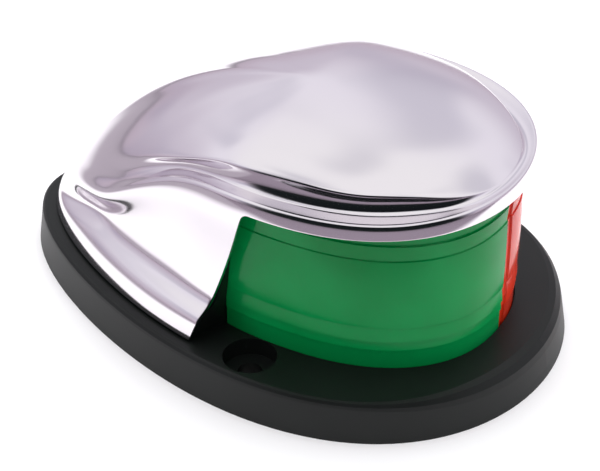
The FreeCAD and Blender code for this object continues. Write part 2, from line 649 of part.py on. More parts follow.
def bulb_filament():
    """Glass stem, two support wires and the coiled filament across their tips."""
    stem_rear = CAP_REAR_X + 8 + GLASS_WALL
    stem = rod(2.2, in_lamp_axis(stem_rear), in_lamp_axis(CAP_FRONT_X + 1))
    pieces = [stem]
    for side in SIDES:
        wire = rod(0.3, in_lamp_axis(CAP_FRONT_X, side * 1.2), in_lamp_axis(GLOBE_X, side * 3.5))
        pieces.append(wire)
    pieces.append(rod(0.35, in_lamp_axis(GLOBE_X, -3.7), in_lamp_axis(GLOBE_X, 3.7)))
    return joined(*pieces)


def lead(side):
    """One insulated lead, from the socket's eyelet down to the terminal block."""
    y0, y1 = side * CONTACT_OFFSET, side * BLOCK_WAY
    block_top = DECK_Z + BLOCK_HEIGHT
    route = [in_lamp_axis(SOCKET_REAR_X + 0.4, y0), in_lamp_axis(SOCKET_REAR_X - 6.5, y0),
             V(BLOCK_X + 7.0, y1, block_top + 5.0), V(BLOCK_X + BLOCK_LENGTH / 2 + 7.0, y1, DECK_Z + 4.0),
             V(BLOCK_X + BLOCK_LENGTH / 2 - 2.5, y1, DECK_Z + 4.0)]
    return rounded_tube(route, LEAD_RADIUS)


def rounded_tube(route, radius):
    """A round tube along straight runs joined by tangent arcs."""
    edges, start = [], route[0]
    for before, corner, after in zip(route, route[1:], route[2:]):
        back, ahead = before - corner, after - corner
        trim = 0.45 * min(back.Length, ahead.Length)
        back.normalize()
        ahead.normalize()
        bisector = back + ahead
        bisector.normalize()
        half = math.acos(max(-1.0, min(1.0, back.dot(ahead)))) / 2
        bend = trim * math.tan(half)
        enter, leave = corner + back * trim, corner + ahead * trim
        middle = corner + bisector * (bend / math.sin(half) - bend)
        edges += [Part.LineSegment(start, enter).toShape(), Part.Arc(enter, middle, leave).toShape()]
        start = leave
    edges.append(Part.LineSegment(start, route[-1]).toShape())
    path = Part.Wire(edges)
    direction = route[1] - route[0]
    section = Part.Wire([Part.makeCircle(radius, route[0], direction)])
    tube = path.makePipeShell([section], True, True)
    return oriented(tube.Solids[0])


def terminal_block():
    top = DECK_Z + BLOCK_HEIGHT
    block = box(BLOCK_X - BLOCK_LENGTH / 2, BLOCK_X + BLOCK_LENGTH / 2, -BLOCK_WIDTH / 2, BLOCK_WIDTH / 2, DECK_Z, top)
    cuts = [rod(BLOCK_SCREW + FIT, V(BLOCK_X, 0, 0), V(BLOCK_X, 0, DECK_Z + BLOCK_HEIGHT - 3.0)),
            rod(2.6, V(BLOCK_X, 0, top - 3.0), V(BLOCK_X, 0, top + 1))]
    for side in SIDES:
        y = side * BLOCK_WAY
        cuts.append(rod(1.7, V(BLOCK_X - 20, y, DECK_Z + 4.0), V(BLOCK_X + 20, y, DECK_Z + 4.0)))
        cuts.append(rod(2.0, V(BLOCK_X, y, DECK_Z + 4.0), V(BLOCK_X, y, top + 1)))
    return block.cut(cuts)


def terminal_clamps():
    """A brass sleeve in each wire way, tapped for its clamp screw."""
    clamps = []
    for side in SIDES:
        y = side * BLOCK_WAY
        sleeve = ring(1.7, LEAD_RADIUS, V(BLOCK_X - 3.4, y, DECK_Z + 4.0), V(BLOCK_X + 3.4, y, DECK_Z + 4.0))
        clamps.append(sleeve.cut(rod(1.25, V(BLOCK_X, y, DECK_Z + 4.0), V(BLOCK_X, y, DECK_Z + 9.0))))
    return group(clamps)


def terminal_screws():
    top = DECK_Z + BLOCK_HEIGHT
    screws = []
    for side in SIDES:
        y = side * BLOCK_WAY
        screw = joined(rod(1.25, V(BLOCK_X, y, DECK_Z + 4.0 + LEAD_RADIUS), V(BLOCK_X, y, top - 0.6)),
                       rod(1.9, V(BLOCK_X, y, top - 1.8), V(BLOCK_X, y, top - 0.2)))
        screws.append(screw.cut(box(BLOCK_X - 2, BLOCK_X + 2, y - 0.3, y + 0.3, top - 1.0, top)))
    return group(screws)


def cable_grommet():
    """Rubber grommet in the deck, where the boat's own cable comes up into the hood."""
    under = DECK_Z - DECK_THICKNESS
    body = rod(GROMMET_BODY / 2, V(GROMMET_X, 0, under), V(GROMMET_X, 0, DECK_Z))
    lips = [rod(GROMMET_BODY / 2 + GROMMET_LIP, V(GROMMET_X, 0, z), V(GROMMET_X, 0, z + 1.4)) for z in (under - 1.4, DECK_Z)]
    return joined(body, *lips).cut(rod(GROMMET_BORE / 2, V(GROMMET_X, 0, 0), V(GROMMET_X, 0, DECK_Z + 5)))


def hood_screw():
    """Pan-head machine screw with a cross recess."""
    head_top = HEAD_FACE_X - HOOD_SCREW_HEAD_THICKNESS
    head = rod(HOOD_SCREW_HEAD / 2, V(head_top, 0, HOOD_SCREW_Z), V(HEAD_FACE_X, 0, HOOD_SCREW_Z))
    rim = [e for e in head.Edges if e.BoundBox.XLength < 1e-6 and abs(e.BoundBox.XMin - head_top) < 1e-6]
    head = head.makeFillet(HOOD_SCREW_HEAD_THICKNESS * 0.6, rim)
    shank = rod(HOOD_SCREW / 2, V(HEAD_FACE_X, 0, HOOD_SCREW_Z), V(POST_X + INSERT_LENGTH, 0, HOOD_SCREW_Z))
    cross = [box(head_top - 1, head_top + 1.1, -1.6, 1.6, HOOD_SCREW_Z - 0.35, HOOD_SCREW_Z + 0.35),
             box(head_top - 1, head_top + 1.1, -0.35, 0.35, HOOD_SCREW_Z - 1.6, HOOD_SCREW_Z + 1.6)]
    return joined(head, shank).cut(cross)


def hood_screw_washer():
    return ring(HOOD_SCREW_HEAD / 2 + 0.3, HOOD_SCREW / 2, V(HEAD_FACE_X, 0, HOOD_SCREW_Z), V(POCKET_X - FIT, 0, HOOD_SCREW_Z))


def hood_screw_insert():
    return ring(INSERT_RADIUS, HOOD_SCREW / 2, V(POST_X, 0, HOOD_SCREW_Z), V(POST_X + INSERT_LENGTH, 0, HOOD_SCREW_Z))


PARTS = {
    "base_housing": base_housing, "lamp_bulkhead": lamp_bulkhead, "screw_post": screw_post,
    "base_gasket": gasket_ring, "hood": hood,
    "starboard_lens": lambda: lens_half(-1), "port_lens": lambda: lens_half(1),
    "lens_seat_gasket": lens_seat_gasket, "lens_top_seal": lens_top_seal,
    "socket_shell": socket_shell, "socket_bracket": socket_bracket, "socket_rivets": socket_rivets,
    "socket_end_plate": socket_end_plate, "socket_terminals": socket_terminals,
    "contact_insulator": contact_insulator, "contact_plungers": contact_plungers, "contact_springs": contact_springs,
    "bulb_glass": bulb_glass, "bulb_cap": bulb_cap, "bulb_contacts": bulb_contacts, "bulb_filament": bulb_filament,
    "starboard_lead": lambda: lead(-1), "port_lead": lambda: lead(1),
    "terminal_block": terminal_block, "terminal_clamps": terminal_clamps, "terminal_screws": terminal_screws, "block_screw": block_screw,
    "cable_grommet": cable_grommet,
    "hood_screw": hood_screw, "hood_screw_washer": hood_screw_washer, "hood_screw_insert": hood_screw_insert,
}

os.makedirs("parts", exist_ok=True)
for name, make in PARTS.items():
    shape = make()
    print(name, "valid" if shape.isValid() else "NOT VALID", len(shape.Solids), "solid(s)", round(shape.Volume, 1), "mm3")
    shape.exportStep("parts/" + name + ".step")
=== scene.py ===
"""A bow navigation light: moulded base, two-colour lens, pressed chrome hood and the lamp inside.

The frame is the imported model: +X to the bow, +Y to port, +Z up, in metres.  Sizes below are in millimetres,
named as they are met, and turned to metres where a mesh is made.
"""
import math
import bmesh
import bpy
import numpy as np
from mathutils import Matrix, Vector


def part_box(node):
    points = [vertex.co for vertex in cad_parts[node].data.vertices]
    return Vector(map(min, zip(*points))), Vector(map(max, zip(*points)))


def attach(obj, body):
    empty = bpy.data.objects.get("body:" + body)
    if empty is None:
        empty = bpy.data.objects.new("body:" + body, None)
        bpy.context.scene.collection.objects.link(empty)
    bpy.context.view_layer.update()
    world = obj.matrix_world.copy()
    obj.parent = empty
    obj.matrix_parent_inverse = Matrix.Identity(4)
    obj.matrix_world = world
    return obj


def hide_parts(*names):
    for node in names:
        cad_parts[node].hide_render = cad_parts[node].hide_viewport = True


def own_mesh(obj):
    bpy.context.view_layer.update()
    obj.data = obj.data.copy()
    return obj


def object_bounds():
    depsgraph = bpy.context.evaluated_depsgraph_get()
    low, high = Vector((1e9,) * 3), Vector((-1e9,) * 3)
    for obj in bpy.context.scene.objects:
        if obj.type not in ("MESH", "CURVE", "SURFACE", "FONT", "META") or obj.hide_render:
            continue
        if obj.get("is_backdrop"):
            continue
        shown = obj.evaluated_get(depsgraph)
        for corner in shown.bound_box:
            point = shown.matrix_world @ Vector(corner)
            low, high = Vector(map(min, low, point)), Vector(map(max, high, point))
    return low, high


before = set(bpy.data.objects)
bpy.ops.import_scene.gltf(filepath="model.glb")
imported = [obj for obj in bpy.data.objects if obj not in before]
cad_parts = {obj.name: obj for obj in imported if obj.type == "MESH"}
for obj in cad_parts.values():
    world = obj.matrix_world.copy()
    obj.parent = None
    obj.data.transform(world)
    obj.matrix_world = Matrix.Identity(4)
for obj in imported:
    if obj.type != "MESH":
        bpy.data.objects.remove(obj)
cad_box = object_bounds()
MM = 0.001


# ======== Camera ========
# A long lens looks down on the starboard bow, so the green half shows in full and the red one edge on.
VIEW_AZIMUTH, VIEW_ELEVATION = math.radians(29.13), math.radians(35.88)
VIEW_DISTANCE, LENS_LENGTH_MM, SENSOR_MM = 449.7, 123.0, 36.0
AIM_RIGHT, AIM_UP = 2.77, 11.25

back = Vector((math.sin(VIEW_AZIMUTH) * math.cos(VIEW_ELEVATION),
               -math.cos(VIEW_AZIMUTH) * math.cos(VIEW_ELEVATION), math.sin(VIEW_ELEVATION)))
right = Vector((math.cos(VIEW_AZIMUTH), math.sin(VIEW_AZIMUTH), 0))
aim = right * AIM_RIGHT + back.cross(right) * AIM_UP
camera = bpy.data.objects.new("camera", bpy.data.cameras.new("camera"))
camera.data.lens, camera.data.sensor_width = LENS_LENGTH_MM, SENSOR_MM
camera.data.clip_start, camera.data.clip_end = 0.01, 20
camera.location = (aim + back * VIEW_DISTANCE) * MM
camera.rotation_euler = back.to_track_quat("Z", "Y").to_euler()
bpy.context.collection.objects.link(camera)
bpy.context.scene.camera = camera
# Plain whites and full colours, as in a printed catalogue.
bpy.context.scene.view_settings.view_transform = "Standard"
LEVEL_TOWARD_CAMERA = (back.x / math.cos(VIEW_ELEVATION), back.y / math.cos(VIEW_ELEVATION), 0.0)


# ======== Studio ========
# White paper under and behind, a tent of soft light overhead, and the dark of the room in front: polished
# metal needs that dark patch to show its edges.  The metal mirrors the tent and the room, not the lamps.
def shade(colour):
    """A hex colour turned to the linear values that a shader takes."""
    channels = [int(colour[i:i + 2], 16) / 255 for i in (1, 3, 5)]
    return tuple(c / 12.92 if c <= 0.04045 else ((c + 0.055) / 1.055) ** 2.4 for c in channels) + (1.0,)


def add(tree, kind, settings=None, **inputs):
    """Adds a node, with its settings, and its inputs as values or as links from other sockets."""
    made = tree.nodes.new(kind)
    for key, value in (settings or {}).items():
        setattr(made, key, value)
    for key, value in inputs.items():
        socket = made.inputs[int(key[1:])] if key[0] == "_" else made.inputs[key.replace("_", " ")]
        if isinstance(value, bpy.types.NodeSocket):
            tree.links.new(value, socket)
        else:
            socket.default_value = value
    return made


def ramp(tree, factor, stops):
    """A smooth colour ramp with stops of (place, colour)."""
    made = add(tree, "ShaderNodeValToRGB", _0=factor)
    made.color_ramp.interpolation = "EASE"
    while len(made.color_ramp.elements) < len(stops):
        made.color_ramp.elements.new(0.5)
    for element, (place, colour) in zip(made.color_ramp.elements, stops):
        element.position, element.color = place, shade(colour)
    return made.outputs["Color"]


def new_material(name):
    material = bpy.data.materials.new(name)
    material.use_nodes = True
    tree = material.node_tree
    return material, tree, tree.nodes["Principled BSDF"]


def dress(node_name, material):
    """Gives a CAD node a material."""
    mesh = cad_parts[node_name].data
    mesh.materials.clear()
    mesh.materials.append(material)


world = bpy.data.worlds.new("studio")
bpy.context.scene.world = world
world.use_nodes = True
sky = world.node_tree
sky.nodes.clear()
direction = add(sky, "ShaderNodeTexCoord").outputs["Generated"]
height = add(sky, "ShaderNodeSeparateXYZ", Vector=direction).outputs["Z"]
level = add(sky, "ShaderNodeMapRange", Value=height, _1=-1.0, _2=1.0).outputs["Result"]
# Both ramps run from straight down (0) over the horizon (0.5) to straight up (1).
paper_sweep = ramp(sky, level, [(0.0, "#f4eef4"), (0.5, "#c9bcc9"), (0.62, "#d6cfdb"), (0.78, "#f6f4fb"),
                                (0.95, "#ffffff"), (1.0, "#ffffff")])
dark_room = ramp(sky, level, [(0.0, "#aaa2aa"), (0.49, "#8a828a"), (0.52, "#1a1f20"), (0.94, "#15191b"),
                              (0.955, "#c9c7d0"), (0.97, "#ffffff")])
FOLD_SCALE, FOLD_START, FOLD_FULL, FOLD_DEPTH, FOLD_TONE = 2.2, 0.5, 0.7, 0.4, "#a29fb4"
folds = add(sky, "ShaderNodeTexNoise", Vector=direction, Scale=FOLD_SCALE, Detail=1.0).outputs[0]
fold_share = add(sky, "ShaderNodeMapRange", {"interpolation_type": "SMOOTHSTEP"}, Value=folds,
                 _1=FOLD_START, _2=FOLD_FULL, _4=FOLD_DEPTH).outputs["Result"]
tent = add(sky, "ShaderNodeMix", {"data_type": "RGBA"}, _0=fold_share, _6=paper_sweep,
           _7=shade(FOLD_TONE)).outputs[2]
flattened = add(sky, "ShaderNodeVectorMath", {"operation": "MULTIPLY"}, _0=direction, _1=(1.0, 1.0, 0.0))
level_way = add(sky, "ShaderNodeVectorMath", {"operation": "NORMALIZE"}, _0=flattened.outputs["Vector"])
toward_camera = add(sky, "ShaderNodeVectorMath", {"operation": "DOT_PRODUCT"}, _0=level_way.outputs["Vector"],
                    _1=LEVEL_TOWARD_CAMERA).outputs["Value"]
ROOM_START, ROOM_FULL = 0.3, 0.6        # cosines of the turn from the camera's way at which the room sets in
room_share = add(sky, "ShaderNodeMapRange", {"interpolation_type": "SMOOTHSTEP"}, Value=toward_camera,
                 _1=ROOM_START, _2=ROOM_FULL).outputs["Result"]
surround = add(sky, "ShaderNodeMix", {"data_type": "RGBA"}, _0=room_share, _6=tent, _7=dark_room)
backdrop = add(sky, "ShaderNodeBackground", Color=surround.outputs[2], Strength=1.0)
add(sky, "ShaderNodeOutputWorld", Surface=backdrop.outputs["Background"])

# Each lamp: its name, place and width in metres, and power in watts.  Both point at the middle of the light.
LAMPS = (("softbox", (-0.1, 0.15, 0.9), 1.6, 11.0), ("fill", (0.55, -0.75, 0.45), 0.3, 1.5))
LAMP_TARGET = Vector((0, 0, 0.03))
for name, place, size, power in LAMPS:
    lamp = bpy.data.objects.new(name, bpy.data.lights.new(name, "AREA"))
    lamp.data.shape, lamp.data.size, lamp.data.energy = "DISK", size, power
    lamp.visible_glossy = False
    lamp.location = place
    lamp.rotation_euler = (Vector(place) - LAMP_TARGET).to_track_quat("Z", "Y").to_euler()
    bpy.context.collection.objects.link(lamp)

# Painted shade: the paper's colour turns grey in front and to the left, past the light, as if the light fell
# off there; the metal mirrors this painted shade as its greys.
FLOOR_SIZE = 6.0
# Distances in metres at which the painted shade on the floor starts and ends, and how dark it gets to the
# left.
SHADE_START, FRONT_SHADE_END, LEFT_SHADE_END, LEFT_SHADE_DEPTH = 0.072, 0.11, 0.13, 0.75
bpy.ops.mesh.primitive_plane_add(size=FLOOR_SIZE)
floor = bpy.context.object
floor.name = "floor"
paper, tree, surface = new_material("seamless_paper")
spot = add(tree, "ShaderNodeTexCoord").outputs["Object"]
forward = add(tree, "ShaderNodeVectorMath", {"operation": "DOT_PRODUCT"}, _0=spot, _1=LEVEL_TOWARD_CAMERA)
leftward = add(tree, "ShaderNodeVectorMath", {"operation": "DOT_PRODUCT"}, _0=spot, _1=tuple(-right))
front_painted_shade = add(tree, "ShaderNodeMapRange", Value=forward.outputs["Value"], _1=SHADE_START, _2=FRONT_SHADE_END)
left_painted_shade = add(tree, "ShaderNodeMapRange", Value=leftward.outputs["Value"], _1=SHADE_START, _2=LEFT_SHADE_END,
                _4=LEFT_SHADE_DEPTH)
painted_shade = add(tree, "ShaderNodeMath", {"operation": "MAXIMUM"}, _0=front_painted_shade.outputs["Result"],
           _1=left_painted_shade.outputs["Result"])
# The floor's colour runs from white to grey with the painted shade.
tree.links.new(ramp(tree, painted_shade.outputs[0], [(0.0, "#fffeff"), (1.0, "#8a808a")]), surface.inputs["Base Color"])
surface.inputs["Roughness"].default_value = 0.9
surface.inputs["Specular IOR Level"].default_value = 0.1
floor.data.materials.append(paper)
floor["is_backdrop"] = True


# ======== Base ========
# Three black ASA mouldings: the egg-shaped flange and deck, the wall behind the lamp with its cheeks, and the
# stern post.  Their tools are spark eroded, which leaves an even, fine grain that scatters light softly.
GRAIN, MOULD_PATCH = 0.35, 22.2         # mm across one grain, and across one patch of gloss


def black_plastic():
    material, tree, surface = new_material("moulded_asa")
    place = add(tree, "ShaderNodeTexCoord").outputs["Object"]
    grain = add(tree, "ShaderNodeTexNoise", Vector=place, Scale=1 / (GRAIN * MM), Detail=3.0, Roughness=0.6)
    patches = add(tree, "ShaderNodeTexNoise", Vector=place, Scale=1 / (MOULD_PATCH * MM), Detail=2.0)
    colour = ramp(tree, patches.outputs[0], [(0.35, "#101312"), (0.65, "#151817")])
    gloss = add(tree, "ShaderNodeMapRange", Value=patches.outputs[0], _3=0.38, _4=0.48)
    bump = add(tree, "ShaderNodeBump", Height=grain.outputs[0], Strength=0.14, Distance=0.00006)
    tree.links.new(colour, surface.inputs["Base Color"])
    tree.links.new(gloss.outputs["Result"], surface.inputs["Roughness"])
    tree.links.new(bump.outputs["Normal"], surface.inputs["Normal"])
    surface.inputs["Specular IOR Level"].default_value = 0.3
    return material


moulded_asa = black_plastic()
for moulding in ("base_housing", "lamp_bulkhead", "screw_post"):
    dress(moulding, moulded_asa)


# ======== Hood ========
# Pressed from thin sheet and chrome plated: a broad crown with a visor over the lens, a hollow in each
# flank and an upright band round the rim.  The plate is a soft mirror, with a faint ripple and haze in it.
BASE_LENGTH, BASE_WIDTH, EGG = 124.0, 82.6, 0.26
DECK_Z, HOOD_GAP, SHEET = 9.0, 0.65, 0.8
RIM_Z = DECK_Z + HOOD_GAP
BAND_Z = RIM_Z + 5.95
RIM_SETBACK, VISOR_SETBACK, LIP_LEAN = 4.2, 7.8, 1.2
HOOD_TOP, CROWN_X = 55.4, 7.0
VISOR_TOP, VISOR_BOTTOM, COVE_WIDTH = 46.9, 43.8, 6.3
SCALLOP_DEPTH, RIDGE_HEIGHT = 4.0, 0.4
MOUTH_FOOT_X, MOUTH_LEAN, MOUTH_CORNER = -2.6, 0.351, 2.0
POCKET_X, POCKET_WIDTH, POCKET_TOP = -53.3, 8.0, 16.6
# A net of 20 rows by 72 spans carries the surface.  Rows 0 to 5 are the crown, 6 to 10 the gutter and the
# lip's top, 11 to 15 the lip and the flank, 16 to 19 the band.  Pairs of angles are degrees from the bow.
SPANS, ROWS = 72, 20
GUTTER_ROW, LIP_ROW, BAND_ROW = 6, 10, 16
FRONT_SHARE = (0.06, 0.3, 0.58, 0.8, 0.93, 1.0)
TAIL_SHARE = (0.06, 0.24, 0.42, 0.57, 0.68, 0.77, 0.82, 0.85, 0.875, 0.895, 0.912, 0.925, 0.938, 0.952,
              0.966, 0.975, 0.98, 0.985, 0.994, 1.0)
TAIL_TURN = (90, 130)
TAIL_CEILING = {14: 29.0, 15: 22.5, 16: BAND_Z + 2.6, 17: BAND_Z, 18: BAND_Z - 3.1, 19: RIM_Z}
DOME_POWER = 2.04
FALL_FRONT, FALL_SIDE, FALL_TAIL = 0.155, 0.43, 0.80
FALL_TO_SIDE, FALL_TO_TAIL = (85, 128), (112, 168)
COVE_AT_BOW, COVE_OPENS, COVE_LOSS, COVE_CLOSES = 0.4, (8, 45), 0.3, (66, 100)
GUTTER = ((0.97, 0.0), (0.84, 0.5), (0.56, 0.95), (0.16, 0.35), (-0.02, -0.05))     # (share across, mm deep)
GUTTER_PULL = 0.75                      # how far the gutter's first row is drawn up to the crown
VISOR_END, VISOR_END_SOFTNESS = 86, 3
SINK, SHIFT, SHIFT_STOP = 0.245, 0.19, 15       # mm per degree behind the visor's end
FLANK_RISE, FLANK_FOOT = (0.93, 0.8, 0.607, 0.3125, 0.0), 20.5
BAND_HEIGHTS = (BAND_Z + 1.0, BAND_Z, BAND_Z - 3.1, RIM_Z)
CARVE, CARVE_END = {12: 0.1, 13: 0.5, 14: 0.95, 15: 1.05, 16: 0.95}, (132, 162)
NECK_DEPTH, NECK_START, NECK_END, RIDGE_END = 0.8, (80, 110), (125, 140), (135, 165)


def outline(t, setback=0.0):
    """A point of the base's egg-shaped outline, moved in along its normal."""
    length, width = BASE_LENGTH / 2, BASE_WIDTH / 2
    c, s = math.cos(t), math.sin(t)
    dx, dy = -length * s, width * (c + EGG * math.cos(2 * t))
    n = math.hypot(dx, dy)
    return length * c - setback * dy / n, width * s * (1 + EGG * c) + setback * dx / n


def ease(value, low, high):
    u = min(1.0, max(0.0, (value - low) / (high - low)))
    return u * u * (3 - 2 * u)


def degrees_from_bow(t):
    return abs(math.degrees(math.atan2(math.sin(t), math.cos(t))))


def cove_width(deg):
    opened = COVE_AT_BOW + (1 - COVE_AT_BOW) * ease(deg, *COVE_OPENS)
    return COVE_WIDTH * (opened - COVE_LOSS * ease(deg, *COVE_CLOSES))


def dome(share, t):
    """A point of the crown's dome, at a share of the way from its centre to the rim."""
    deg = degrees_from_bow(t)
    fall = FALL_FRONT + (FALL_SIDE - FALL_FRONT) * ease(deg, *FALL_TO_SIDE)
    fall += (FALL_TAIL - FALL_SIDE) * ease(deg, *FALL_TO_TAIL)
    ox, oy = outline(t, RIM_SETBACK)
    z = RIM_Z + (HOOD_TOP - RIM_Z) * max(0.0, 1 - share ** DOME_POWER) ** fall
    return Vector((CROWN_X + share * (ox - CROWN_X), share * oy, z))


def visor(row, t):
    """A control point of the visor: gutter, lip and the flank below, which falls away behind the lip."""
    deg = degrees_from_bow(t)
    past = max(0.0, deg - VISOR_END)
    past = past * past / (past + VISOR_END_SOFTNESS)
    drop, shift = SINK * past, SHIFT * min(past, SHIFT_STOP)
    top = VISOR_TOP - drop
    cove = cove_width(deg)
    if row <= LIP_ROW:
        across, sunk = GUTTER[row - GUTTER_ROW]
        z = top - sunk * cove / COVE_WIDTH
        if row == GUTTER_ROW:
            z += GUTTER_PULL * (hood_point(row - 1, t).z - z)
        return Vector((*outline(t, VISOR_SETBACK + LIP_LEAN + across * cove + shift), z))
    if row < BAND_ROW:
        z = FLANK_FOOT + (top - FLANK_FOOT) * FLANK_RISE[row - LIP_ROW - 1]
    else:
        z = BAND_HEIGHTS[row - BAND_ROW]
    lip = max(0, (z - VISOR_BOTTOM + drop) / (VISOR_TOP - VISOR_BOTTOM))
    share = min(1.0, (z - RIM_Z) / (VISOR_BOTTOM - drop - RIM_Z))
    setback = RIM_SETBACK + (VISOR_SETBACK + shift - RIM_SETBACK) * share + LIP_LEAN * lip
    return Vector((*outline(t, setback), z))


def hood_point(row, t):
    """One control point of the hood's outer skin."""
    deg = degrees_from_bow(t)
    to_tail = ease(deg, *TAIL_TURN)
    if row < GUTTER_ROW:
        ox, oy = outline(t, RIM_SETBACK)
        ex, ey = outline(t, VISOR_SETBACK + LIP_LEAN + cove_width(deg))
        edge = FRONT_SHARE[row] * math.hypot(ex - CROWN_X, ey) / math.hypot(ox - CROWN_X, oy)
        point = dome(edge + (TAIL_SHARE[row] - edge) * to_tail, t)
        if row == 0:
            point.z = HOOD_TOP
        return point
    rear = dome(TAIL_SHARE[row], t)
    rear.z = min(rear.z, TAIL_CEILING.get(row, HOOD_TOP))
    front = visor(row, t)
    point = front + (rear - front) * to_tail
    inward = CARVE.get(row, 0.0) * SCALLOP_DEPTH * (1 - ease(deg, *CARVE_END))
    if row in (LIP_ROW, LIP_ROW + 1):
        inward -= RIDGE_HEIGHT * ease(deg, *NECK_START) * (1 - ease(deg, *RIDGE_END))
    if GUTTER_ROW < row < LIP_ROW:
        inward += NECK_DEPTH * ease(deg, *NECK_START) * (1 - ease(deg, *NECK_END))
    ox, oy = outline(t)
    ix, iy = outline(t, 1.0)
    return point + Vector((ix - ox, iy - oy, 0)) * inward


def spline_weights(count, samples, closed):
    """Cubic B-spline weights of each control point at each sample."""
    spans = count if closed else count - 3
    weights = np.zeros((samples, count))
    knots = None if closed else [0] * 3 + list(range(spans + 1)) + [spans] * 3
    for row, u in enumerate(np.linspace(0, spans, samples, endpoint=not closed)):
        if closed:
            start, f = int(u), u - int(u)
            basis = ((1 - f) ** 3, 3 * f ** 3 - 6 * f ** 2 + 4,
                     -3 * f ** 3 + 3 * f ** 2 + 3 * f + 1, f ** 3)
            for k in range(4):
                weights[row, (start + k - 1) % count] += basis[k] / 6
            continue
        span = min(int(u), spans - 1) + 3
        basis = [1.0]
        for degree in (1, 2, 3):
            grown = [0.0] * (degree + 1)
            for k in range(degree):
                low, high = knots[span - degree + 1 + k], knots[span + 1 + k]
                share = (u - low) / (high - low)
                grown[k] += basis[k] * (1 - share)
                grown[k + 1] += basis[k] * share
            basis = grown
        weights[row, span - 3:span + 1] = basis
    return weights


def mesh_object(name, points, faces, material):
    """A mesh piece from points in millimetres."""
    mesh = bpy.data.meshes.new(name)
    mesh.from_pydata([tuple(float(v) * MM for v in p) for p in points], [], faces)
    mesh.materials.append(material)
    mesh.validate()
    mesh.shade_smooth()
    made = bpy.data.objects.new(name, mesh)
    bpy.context.collection.objects.link(made)
    return made


def finished(piece, smooth_angle=None):
    """Applies a piece's modifiers."""
    graph = bpy.context.evaluated_depsgraph_get()
    mesh = bpy.data.meshes.new_from_object(piece.evaluated_get(graph))
    piece.modifiers.clear()
    old, piece.data = piece.data, mesh
    bpy.data.meshes.remove(old)
    mesh.shade_smooth()
    if smooth_angle:
        mesh.set_sharp_from_angle(angle=math.radians(smooth_angle))
    return piece


ROUND, DOWN = 360, 150          # samples round and down the hood
POCKET_BLEND = 0.6              # mm over which the screw's flat turns into the skin


def hood_skin():
    """The hood's outer skin as one sheet of fine quads, closed at the crown and open at the rim."""
    angles = [2 * math.pi * i / SPANS for i in range(SPANS)]
    net = np.array([[hood_point(row, t) for t in angles] for row in range(ROWS)])
    down, around = spline_weights(ROWS, DOWN, False), spline_weights(SPANS, ROUND, True)
    grid = np.einsum("ra,sb,abx->rsx", down, around, net)
    half = POCKET_WIDTH / 2
    outside = np.maximum(np.abs(grid[..., 1]) - half, grid[..., 2] - POCKET_TOP)
    blend = np.clip(outside / POCKET_BLEND + 0.5, 0, 1)
    flat = np.maximum(grid[..., 0], POCKET_X)
    grid[..., 0] = flat + (grid[..., 0] - flat) * blend ** 2 * (3 - 2 * blend)
    points = list(grid.reshape(-1, 3)) + [(grid[0, :, 0].mean(), 0.0, HOOD_TOP)]
    faces = []
    for c in range(ROUND):
        following = (c + 1) % ROUND
        faces += [(r + c, r + ROUND + c, r + ROUND + following, r + following)
                  for r in range(0, (DOWN - 1) * ROUND, ROUND)]
        faces.append((len(points) - 1, c, following))
    return points, faces


CORNER_STEPS = 6


def mouth_planes():
    """The mouth's edge in side view, as planes round the opening: its lean, its rounded corner, its top."""
    lean = Vector((-1, 0, MOUTH_LEAN)).normalized()
    knee = Vector((MOUTH_FOOT_X + MOUTH_LEAN * (VISOR_BOTTOM - RIM_Z), 0, VISOR_BOTTOM))
    top = Vector((0, 0, 1))
    half = lean.angle(top) / 2
    centre = knee - (lean + top).normalized() * MOUTH_CORNER / math.cos(half)
    planes = []
    for step in range(CORNER_STEPS + 1):
        normal = lean.slerp(top, step / CORNER_STEPS)
        planes.append((centre + normal * MOUTH_CORNER, normal))
    return planes


def cut_opening(piece, planes, margin=3.0):
    """Cuts away what lies inside every plane, and splits only the faces near the cut."""
    bm = bmesh.new()
    bm.from_mesh(piece.data)

    def faces_within(reach):
        return [f for f in bm.faces
                if all((f.calc_center_median() / MM - place).dot(normal) < reach for place, normal in planes)]

    for place, normal in planes:
        near = faces_within(margin)
        edges = {e for f in near for e in f.edges}
        corners = {v for f in near for v in f.verts}
        bmesh.ops.bisect_plane(bm, geom=near + list(edges) + list(corners), plane_co=place * MM,
                               plane_no=normal, dist=1e-7)
    bmesh.ops.delete(bm, geom=faces_within(0), context="FACES")
    bm.to_mesh(piece.data)
    bm.free()


RIPPLE, HAZE = 16.7, 40.0       # mm across one ripple of the sheet, and across one patch of haze


def chrome_plate():
    material, tree, surface = new_material("chrome_plate")
    place = add(tree, "ShaderNodeTexCoord").outputs["Object"]
    ripple = add(tree, "ShaderNodeTexNoise", Vector=place, Scale=1 / (RIPPLE * MM), Detail=1.0)
    haze = add(tree, "ShaderNodeTexNoise", Vector=place, Scale=1 / (HAZE * MM), Detail=3.0)
    gloss = add(tree, "ShaderNodeMapRange", Value=haze.outputs[0], _3=0.09, _4=0.14)
    bump = add(tree, "ShaderNodeBump", Height=ripple.outputs[0], Strength=0.15, Distance=0.0002)
    surface.inputs["Metallic"].default_value = 1.0
    surface.inputs["Base Color"].default_value = shade("#eae5ea")
    tree.links.new(gloss.outputs["Result"], surface.inputs["Roughness"])
    tree.links.new(bump.outputs["Normal"], surface.inputs["Normal"])
    return material


